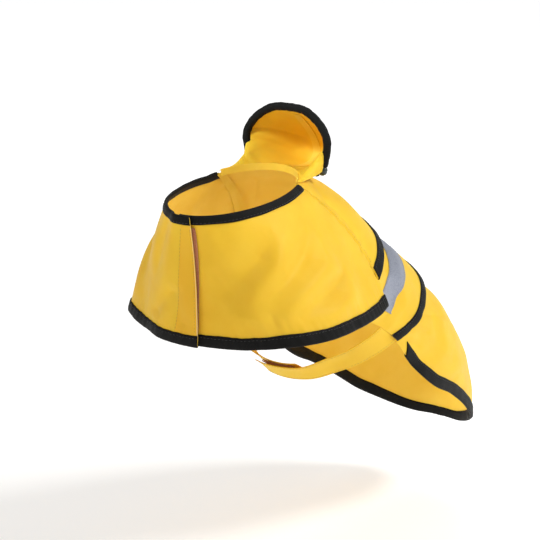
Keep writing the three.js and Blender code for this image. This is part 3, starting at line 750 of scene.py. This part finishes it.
left_cape = dressed(cape_plain, 1, LEFT_CREASES, CAPE_MM, 0.4,
                    lambda u, v: cape_detail(LEFT_FOLDS, u, v), off_seam)
right_cape = right_cape_out(0)
first_rib = 0.1 * ribs_per_mm
fold_line = RIGHT_END - LAP["doubled"] * ribs_per_mm
# Where the painted highlight along the right front's edge starts; LAP's edge is its width in mm
highlight_line = RIGHT_END - LAP["edge"] * ribs_per_mm
SEAM_RIBS = 0.24   # ribs from the raglan seam that have the finest mesh
NECK_FROM = 0.12   # where the neck's tapes start, in ribs


def right_slots(rib, _down):
    """3 is a paler strip along the front edge, a painted highlight; 2 the doubled strip beside it and 0 the
    rest.
    """
    return np.where(rib > highlight_line, 3, np.where(rib > fold_line, 2, 0))


near_seam = np.linspace(first_rib, SEAM_RIBS, 14)[:-1]
left_ribs = np.concatenate([near_seam, np.linspace(SEAM_RIBS, LEFT_END, 150)])
right_ribs = np.concatenate([
    near_seam, np.linspace(SEAM_RIBS, fold_line, 124)[:-1], np.linspace(fold_line, highlight_line, 22)[:-1],
    np.linspace(highlight_line, RIGHT_END, 4),
])
front_look = {"materials": [*LINED, CLOTH_DOUBLE, EDGE_HIGHLIGHT], "slot_at": right_slots}
for name, surface, side, ribs, end, look in (("left", left_cape, 1, left_ribs, LEFT_END, {}),
                                             ("right", right_cape, -1, right_ribs, RIGHT_END, front_look)):
    cloth(f"cape_{name}_cloth", surface, side, ribs, bound_vs(surface, 84, top_bound=True), f"cape_{name}",
          **look)
    bind(f"cape_hem_{name}_tape", f"cape_hem_{name}", surface, side, np.linspace(first_rib, end, 190))
    bind(f"neck_{name}_tape", f"neck_binding_{name}", surface, side, np.linspace(NECK_FROM, end, 130), True)

# Hook and loop tape of the front
tape_width = FRONT_TAPE["width"] * ribs_per_mm
hook_from = CAPE_SPAN - (LAP["over"] + FRONT_TAPE["shows"]) * ribs_per_mm
on_face = CLOTH / 2 + SEAM + FRONT_TAPE["wall"] / 2
tape_vs = np.linspace(FRONT_TAPE["top"], FRONT_TAPE["bottom"], 60)
hook_surface = dressed(hook_plain, 1, LEFT_CREASES, CAPE_MM, 0.4,
                       lambda u, v: on_face + cape_detail(LEFT_FOLDS, u + tape_shift(v), v))
piece(shell("hook_tape_strip", hook_surface, 1, np.linspace(hook_from, hook_from + tape_width, 12), tape_vs,
            HOOK_TAPE, FRONT_TAPE["wall"]), "tape", "hook_tape")
loop_to = RIGHT_END - ribs_per_mm
piece(shell("loop_tape_strip", right_cape_out(-on_face), -1, np.linspace(loop_to - tape_width, loop_to, 12),
            tape_vs, HOOK_TAPE, FRONT_TAPE["wall"]), "tape", "loop_tape")


# Yoke, back and tail
def to_raglan(station, deg):
    """Degrees from the nearer raglan seam, plus on the yoke."""
    return lerp(*RAGLAN_DEG, np.clip(station / FLAP_STATION, 0, 1)) - np.abs(deg)


def off_raglan(station, deg):
    """The yoke is still along its two raglan seams."""
    by_seam = smooth(np.abs(to_raglan(station, deg)), 0.0, 5.0)
    return lerp(by_seam, 1.0, smooth(station, FLAP_STATION + 0.02, FLAP_STATION + 0.25))


def trunk_out(extra):
    return dressed(trunk_plain, -1, TRUNK_CREASES, TRUNK_MM, 1.3, extra, off_raglan)


def panel(top, hem):
    """Spot (station, deg) of a back panel between two edge tables, for across -1 to 1 and down 0 to 1."""
    def spot(across, down):
        across, down = both(across, down)
        at = np.abs(across) * (len(top) - 1)
        start, end = row(top, at), row(hem, np.abs(across) * (len(hem) - 1))
        mix = lerp(start, end, down[..., None])
        return mix[..., 0], np.sign(across) * mix[..., 1]
    return spot


def depth_under(edge, station, deg):
    """How deep a panel lies where it passes under the bound edge at a station."""
    clear = np.maximum(smooth(station, edge - TUCK, edge - 0.75 * TUCK), smooth(np.abs(deg), 30, 50))
    ease = edge + 0.25 + 0.6 * smooth(np.abs(deg), 62, 80)
    t = np.clip((station - ease) / 0.55, 0, 1)
    return lerp(SEWN, LAYER, clear) * (1 - t * t * (3 - 2 * t))


def yoke_spot(across, down):
    """Station and deg of a spot on the yoke, for across -1 to 1 and down 0 to 1."""
    across, down = both(across, down)
    return FLAP_STATION * down, across * lerp(*RAGLAN_DEG, down)


def seen_on(surface, spot):
    """A trunk surface by across and down of the panel on it."""
    return lambda across, down: surface(*spot(across, down))


def yoke_extra(station, deg):
    """The yoke's own drawn-in raglan seams, as in the cape."""
    away = to_raglan(station, deg) * TRUNK_MM[1] * 0.9
    run = station / FLAP_STATION * RAGLAN_END * CAPE_MM[1]
    return (puckers(run, away - 2, 7, 5, 0.3) - seam_sink(away)) * (1 - smooth(station, 1.7, 1.86))


yoke_plain = seen_on(trunk_plain, yoke_spot)
yoke_surface = seen_on(trunk_out(yoke_extra), yoke_spot)
yoke_side = np.linspace(0.9985, 0.92, 14)
yoke_across = np.concatenate([-yoke_side, np.linspace(-0.91, 0.91, 112), yoke_side[::-1]])
cloth("yoke_cloth", yoke_surface, 1, yoke_across, bound_vs(yoke_surface, 70, 0.002), "yoke")
bind("yoke_edge_tape", "yoke_binding", yoke_surface, 1, across_to(0.985, 130), sewn=across_to(0.98, 130))

# Turned-in edges of the cloth behind the raglan seams and where the hood joins the yoke
ALLOWANCE = {"wide": 5.0, "deep": 1.5, "thick": 0.5, "neck_low": -3.0, "neck_high": 2.6, "neck_deep": 0.9}


def raglan_allowance(across, down):
    """Strip across the left raglan seam, on its inside; across runs in mm from the cape to the yoke."""
    across, down = both(across, down)
    rib = np.maximum(-across, 0) / CAPE_MM[0]
    on_yoke = 1 - np.maximum(across, 0) / YOKE_MM
    cape_in = raised(cape_plain, 1, -ALLOWANCE["deep"])(rib, RAGLAN_END * down)
    yoke_in = raised(yoke_plain, 1, -ALLOWANCE["deep"])(on_yoke, down)
    return lerp(cape_in, yoke_in, smooth(across, -1.5, 1.5)[..., None])


def neck_allowance(deg, up):
    """Upright strip inside the join of the hood and the yoke."""
    deg, up = both(deg, up)
    turn = np.radians(deg)
    way = [np.cos(turn) / NECK["half_length"], -np.sin(turn) / NECK["half_width"], 0 * turn]
    out = unit(np.stack(way, -1))
    return neckline(deg) - out * ALLOWANCE["neck_deep"] + np.array([0, 0, 1]) * up[..., None]


raglan_across = np.linspace(-ALLOWANCE["wide"], ALLOWANCE["wide"], 11)
raglan_down = np.linspace(0.01, 0.93, 60)
neck_up = np.linspace(ALLOWANCE["neck_low"], ALLOWANCE["neck_high"], 7)
for name, surface, side, us, vs in (
        ("raglan_left_allowance", raglan_allowance, 1, raglan_across, raglan_down),
        ("raglan_right_allowance", mirrored(raglan_allowance), -1, raglan_across, raglan_down),
        ("neck_seam_allowance", neck_allowance, 1, across_to(59, 100), neck_up)):
    cloth(name, surface, side, us, vs, materials=INSIDE, thick=ALLOWANCE["thick"])

back_spot = panel(BACK_TOP, BACK_HEM)


def back_out(out):
    surface = trunk_out(lambda station, deg: out - depth_under(FLAP_STATION, station, deg))
    return seen_on(surface, back_spot)


back_plain = seen_on(trunk_plain, back_spot)
back_face = back_out(0)
cloth("back_cloth", back_face, 1, across_to(1, 150), bound_vs(back_face, 84), "back_panel")
bind("back_hem_tape", "back_binding", back_face, 1, across_to(1, 150), sewn=across_to(0.99, 150))


def stripe_surface(across, down):
    across, down = both(across, down)
    top, _ = back_spot(across, 0 * down)
    hem, _ = back_spot(across, 0 * down + 1)
    start = np.maximum((STRIPE["station"] - top) / (hem - top), 0.03)
    per_mm = 1 / speed_across(back_plain, across, 0.5 + 0 * down)
    return film_face(across, start + down * STRIPE["width"] * per_mm)


film_face = back_out(SHELL / 2 + 0.35)
piece(shell("stripe_film", stripe_surface, 1, across_to(STRIPE["reach"], 130), np.linspace(0, 1, 16),
            [FILM, FILM], STRIPE["thick"]), "reflective", "reflective_stripe")


def edge_at(deg):
    return row(BACK_HEM, np.abs(deg) / FLANK_DEG * (len(BACK_HEM) - 1))[..., 0]


tail_top = [(float(edge_at(TAIL_TOP_DEG * k / 7)) - TUCK, TAIL_TOP_DEG * k / 7) for k in range(8)]
tail_trunk = trunk_out(lambda station, deg: -depth_under(edge_at(deg), station, deg))
tail_face = seen_on(tail_trunk, panel(tail_top, TAIL_HEM))
cloth("tail_cloth", tail_face, 1, across_to(1, 190), bound_vs(tail_face, 110), "tail_panel")
bind("tail_hem_tape", "tail_binding", tail_face, 1, across_to(14 / 15, 330), sewn=across_to(0.925, 330))

# Belly band
belly_from = FLANK_DEG + math.degrees(SEAM / HOOPS[0][1])
belly_to = 180 + BELLY["lap"]
belly_lift = CLOTH + 2 * BELLY_TAPE["wall"] + 4 * SEAM


def band_plain(deg, station):
    return trunk_plain(station, deg)


def band_rise(deg, _station):
    return belly_lift * smooth(deg, 180 - BELLY["lap"] - BELLY["ramp"], 180 - BELLY["lap"])


band_left = dressed(band_plain, 1, [], (1.3, 46), 0.9, band_rise)
band_right = dressed(mirrored(band_plain), -1, [], (1.3, 46), 3.3)
band_vs = np.linspace(BELLY["top"], BELLY["bottom"], 26)
band_degs = np.linspace(belly_from, belly_to, 90)
cloth("belly_left_cloth", band_left, 1, band_degs, band_vs, "belly_band_left")
cloth("belly_right_cloth", band_right, -1, band_degs, band_vs, "belly_band_right")
belly_on = CLOTH / 2 + 1.5 * SEAM + BELLY_TAPE["wall"] / 2
belly_tape_degs = np.linspace(180 - BELLY_TAPE["deg"], 180 + BELLY_TAPE["deg"], 14)
belly_tape_vs = np.linspace(BELLY["top"] + BELLY_TAPE["inset"], BELLY["bottom"] - BELLY_TAPE["inset"], 18)
for name, out, node in (("belly_hook_strip", belly_on, "belly_hook_tape"),
                        ("belly_loop_strip", belly_lift - belly_on, "belly_loop_tape")):
    piece(shell(name, raised(band_plain, 1, out), 1, belly_tape_degs, belly_tape_vs, HOOK_TAPE,
                BELLY_TAPE["wall"]), "tape", node)

# Hood
RIM_LAST = len(RIM) - 1


def hood_half_plain(at, share):
    """From the yoke's neckline back round the pouch and up to the rim."""
    at, share = both(at, share)
    rim = row(RIM, at)
    base = neckline(RAGLAN_DEG[0] * at / RIM_LAST) + np.array([0, 0, HOOD["lift"]])
    power = lerp(HOOD["round"], 1, at / RIM_LAST)
    full = np.maximum(1 - (np.abs(rim[..., 1]) / HOOD["taper"]) ** power, HOOD["least"])
    low = base + np.stack([HOOD["depth"] * full, 0 * full, -HOOD["bottom_drop"] * full], -1)
    high = rim + np.stack([HOOD["depth"] * full, 0 * full, -HOOD["drop"] * full], -1)
    t = share[..., None]
    return base * (1 - t) ** 3 + 3 * low * t * (1 - t) ** 2 + 3 * high * t * t * (1 - t) + rim * t ** 3


rim_path = row(RIM, np.linspace(0, RIM_LAST, 200))
rim_way = unit(rim_path[-1] - rim_path[-4])
lock_centre = rim_path[-1] + rim_way * (LOCK_RADIUS + SEAM)


def hood_shares(at):
    """Shares round the pouch for each row, up to just short of the rim's cord and the lock."""
    tries = np.linspace(1, 0.6, 161)
    points = hood_half_plain(np.repeat(at[:, None], len(tries), 1), tries[None])
    to_rim = np.min([np.linalg.norm(points - p, axis=-1) for p in rim_path[::2]], axis=0)
    to_lock = np.linalg.norm(points - lock_centre, axis=-1)
    good = (to_rim > RIM_RADIUS - 0.8) & (to_lock > LOCK_RADIUS - 0.6)
    return lerp(0.006, tries[np.argmax(good, axis=1)][:, None], np.linspace(0, 1, 84))


def at_middle(at, share):
    """The two halves are still along the seam between them, and at the neckline."""
    return smooth(at, 0.0, 0.5) * smooth(share, 0.0, 0.08)


OTHER_CREASES = [(a, b + 0.05, c + 0.3, d, e, f, g) for a, b, c, d, e, f, g in HOOD_CREASES]
hood_left = dressed(hood_half_plain, 1, HOOD_CREASES, HOOD_MM, 0.2, None, at_middle)
hood_right = dressed(mirrored(hood_half_plain), -1, OTHER_CREASES, HOOD_MM, 1.7, None, at_middle)
hood_rows = np.linspace(0.008, RIM_LAST, 76)
for name, surface, side in (("hood_left", hood_left, 1), ("hood_right", hood_right, -1)):
    cloth(f"{name}_cloth", surface, side, hood_rows, hood_shares, name)


def hood_allowance(aside, share):
    """Strip inside the seam between the two halves of the hood; aside runs in mm across it."""
    aside, share = both(aside, share)
    middle = hood_half_plain(0 * share, share)
    ahead = hood_half_plain(0 * share, share + STEP) - middle
    inward = unit(np.cross(ahead, [0.0, 1.0, 0.0]))
    centre = np.array([HOOD["depth"] * 0.3, 0, 34])
    inward *= np.sign(((centre - middle) * inward).sum(-1, keepdims=True))
    return middle + inward * 0.75 + aside[..., None] * np.array([0.0, 1.0, 0.0])


cloth("hood_seam_allowance", hood_allowance, 1, across_to(3.5, 5), np.linspace(0.02, 0.94, 60),
      materials=INSIDE, thick=ALLOWANCE["thick"])


def round_rings(centre, side, up, radius):
    """Rings of points round each centre, at each one's radii."""
    angle = np.linspace(0, 2 * math.pi, radius.shape[1], endpoint=False)[:, None]
    out = side[:, None] * np.cos(angle) + up[:, None] * np.sin(angle)
    return centre[:, None] + out * radius[..., None]


def tube(name, path, radius_at, material, sides=18, pitch=1.0):
    """Round cord casing along a path, with radius_at(length, angle) giving its gathers."""
    dense = row(path, np.linspace(0, len(path) - 1, 1200))
    length = lengths(dense)
    count = int(length[-1] / pitch)
    at = np.linspace(0, length[-1], count)
    centre = at_lengths(at, length, dense)
    way = unit(np.gradient(centre, axis=0))
    side = unit(np.cross(way, np.array([1.0, 0.0, 0.0])))
    up = np.cross(side, way)
    angle = np.linspace(0, 2 * math.pi, sides, endpoint=False)
    radius = radius_at(at[:, None], angle[None])
    uv = np.stack(np.broadcast_arrays(at[:, None], angle * RIM_RADIUS), -1)
    return ringed(name, round_rings(centre, side, up, radius), uv, material)


def gathers(length, angle):
    """Casing drawn up a little on its cord: rings of small gathers and a sewn flat inside."""
    waves = 0.10 * np.sin(length / 1.5 + 1.3 * np.sin(length / 9))
    finer = 0.07 * np.sin(length / 0.83 + 2 * np.cos(angle))
    return RIM_RADIUS - 0.15 + waves + finer + 0.08 * np.cos(2 * angle)


whole_rim = [*RIM[:0:-1], *[(x, -y, z) for x, y, z in RIM]]
piece(tube("hood_rim_casing", whole_rim, gathers, TAPE_BLACK), "trim", "hood_rim")


def turned(name, profile, centre, axis, material, sides=28, dents=None):
    """A form turned round an axis from (radius, height) pairs, in mm."""
    axis = unit(np.asarray(axis, float))
    side = unit(np.cross(axis, [0.3, 0.2, 1.0]))
    up = np.cross(axis, side)
    table = np.array(profile, float)
    fine = row(table, np.linspace(0, len(table) - 1, 6 * len(table)))
    fine[:, 0] = np.maximum(fine[:, 0], 0.02)
    angle = np.linspace(0, 2 * math.pi, sides, endpoint=False)
    radius = np.repeat(fine[:, :1], sides, 1)
    if dents:
        radius = radius * dents(fine[:, 1:2], angle[None])
    uv = np.stack(np.broadcast_arrays(fine[:, 1:2], 3.0 * angle), -1)
    points = round_rings(centre + axis * fine[:, 1:2], side[None], up[None], radius)
    return ringed(name, points, uv, material)


# radius, height
LOCK_PROFILE = [(0.3, -3.75), (2.0, -3.55), (3.1, -2.5), (3.72, -1.2), (3.72, -0.55), (3.45, -0.4),
                (3.45, 0.4), (3.72, 0.55), (3.72, 1.2), (3.1, 2.5), (2.1, 3.2), (1.9, 3.35), (1.7, 3.75),
                (0.3, 3.8)]
KNOT_PROFILE = [(0.2, 0.0), (1.5, 0.25), (2.45, 1.4), (2.6, 2.6), (2.1, 4.0), (1.35, 4.9), (1.15, 5.6),
                (1.15, 8.0), (1.25, 9.6), (1.55, 10.8), (0.9, 11.0), (0.2, 10.9)]
KNOT_WAY = unit(np.array([-0.93, 0.3, -0.2]))


def knot_twist(height, angle):
    """Turns of the knotted cord."""
    knot = 0.07 * np.sin(2 * angle + height * 2.4) * (height < 5.2)
    return 1 + knot + 0.05 * np.sin(3 * angle - height * 3.0)


for name, flip in (("left", np.array([1, 1, 1])), ("right", np.array([1, -1, 1]))):
    centre, way = lock_centre * flip, KNOT_WAY * flip
    lock = turned(f"cord_lock_{name}_ball", LOCK_PROFILE, centre, rim_way * flip, LOCK_PLASTIC)
    piece(lock, "lock", f"cord_lock_{name}")
    knot = turned(f"cord_end_{name}_knot", KNOT_PROFILE, centre + way * (LOCK_RADIUS + SEAM), way,
                  CORD_BLACK, dents=knot_twist)
    piece(knot, "trim", f"cord_end_{name}")

# Thread
piece(stitches("tape_thread", *zip(*tape_rows), THREAD_BLACK), "trim")
seam_vs = np.linspace(0.03, 0.99, 90)
cloth_top = SHELL / 2 + 0.12
front_vs = np.linspace(0.09, 0.89, 80)
rows_yellow = [
    line_on(yoke_surface, 1, sign * (0.9965 - SEAM_THREAD_IN / YOKE_MM), seam_vs * 0.9 + 0.01, cloth_top)
    for sign in (-1, 1)
]
rows_yellow += [
    line_on(right_cape, -1, RIGHT_END - inset * ribs_per_mm, front_vs, cloth_top) for inset in (2.4, 21)
]
for surface, side in ((band_left, 1), (band_right, -1)):
    for edge in (BELLY["top"] + 0.05, BELLY["bottom"] - 0.05):
        rows_yellow.append(line_on(surface, side, band_degs, edge, cloth_top))
piece(stitches("seam_thread", *zip(*rows_yellow), THREAD_YELLOW, 2.8), "cloth")
stripe_across = across_to(STRIPE["reach"] - 0.01, 150)
rows_grey = [line_on(stripe_surface, 1, stripe_across, v, 0.3) for v in (0.07, 0.93)]
piece(stitches("stripe_thread", *zip(*rows_grey), THREAD_GREY), "reflective")

# Floor, light and camera
FLOOR_Z = -0.345
floor_mesh = bpy.data.meshes.new("floor")
corners = [(-40, -40), (40, -40), (40, 40), (-40, 40)]
floor_mesh.from_pydata([(x, y, FLOOR_Z) for x, y in corners], [], [(0, 1, 2, 3)])
floor = linked("floor", floor_mesh)
floor_material, floor_tree, floor_shader, floor_place = new_material("pale_floor")
settle(floor_shader, Base_Color=(0.86, 0.86, 0.87, 1), Roughness=0.6, Emission_Color=(1, 1, 1, 1))
floor_far = floor_tree.nodes.new("ShaderNodeVectorMath")
floor_far.operation = "LENGTH"
floor_tree.links.new(floor_place["Object"], floor_far.inputs[0])
floor_glow = floor_tree.nodes.new("ShaderNodeMapRange")
# From 0.35 m to 1.8 m away, the floor's glow grows from 0.44 to 0.72
for socket, value in zip(floor_glow.inputs[1:5], (0.35, 1.8, 0.44, 0.72)):
    socket.default_value = value
floor_tree.links.new(floor_far.outputs["Value"], floor_glow.inputs[0])
floor_tree.links.new(floor_glow.outputs[0], floor_shader.inputs["Emission Strength"])
floor_mesh.materials.append(floor_material)

bpy.context.scene.view_settings.view_transform = "Standard"
world = bpy.data.worlds.new("studio")
bpy.context.scene.world = world
world.use_nodes = True
settle(world.node_tree.nodes["Background"], Color=(1, 1, 1, 1), Strength=0.30)

CAMERA = {"azimuth": -55, "elevation": 16, "distance": 1.4, "right": -0.0112, "up": -0.0736, "lens": 116.67}
az, el = math.radians(CAMERA["azimuth"]), math.radians(CAMERA["elevation"])
right = np.array([math.cos(az), math.sin(az), 0])
behind = np.array([math.sin(az) * math.cos(el), -math.cos(az) * math.cos(el), math.sin(el)])
above = np.cross(behind, right)
target = right * CAMERA["right"] + above * CAMERA["up"]


def placed(made, spot, axes):
    """Puts an object at a spot with its x, y and z along three axes."""
    rows = [[*(float(axis[k]) for axis in axes), float(spot[k])] for k in range(3)]
    made.matrix_world = Matrix([*rows, [0, 0, 0, 1]])


def lamp(name, kind, watts, tint, spot, aim):
    """A light at a spot, turned to its aim."""
    light = bpy.data.lights.new(name, kind)
    light.energy = watts
    light.color = tint
    to = unit(spot - aim)
    aside = unit(np.cross([0, 0, 1], to))
    placed(linked(name, light), spot, (aside, np.cross(to, aside), to))
    return light


lens = bpy.data.cameras.new("camera")
lens.lens = CAMERA["lens"]
lens.sensor_width = 36
camera = linked("camera", lens)
placed(camera, target + behind * CAMERA["distance"], (right, above, behind))
bpy.context.scene.camera = camera

# Lights: right, up and toward the camera in metres from the target, size, watts, colour
LIGHTS = {
    "key": (1.8, 1.25, 0.5, 0.5, 31, (1, 0.985, 0.95)),
    "fill": (-1.2, 1.0, 1.8, 1.6, 8, (1, 0.86, 0.58)),
    "back": (0.2, 1.7, -1.1, 1.0, 5, (1, 1, 1)),
}
for name, (across, up, near, size, watts, tint) in LIGHTS.items():
    light = lamp(name, "AREA", watts, tint, target + right * across + above * up + behind * near, target)
    light.shape = "DISK"
    light.size = size

# A narrow soft beam into the hood
hood_middle = np.array([0.025, 0, 0.036])
beam = lamp("hood_beam", "SPOT", 170, (0.94, 1.0, 1.0),
            hood_middle + right * -0.75 + above * 0.75 + behind * 1.1, hood_middle)
beam.spot_size = math.radians(8)
beam.spot_blend = 1
beam.shadow_soft_size = 0.12
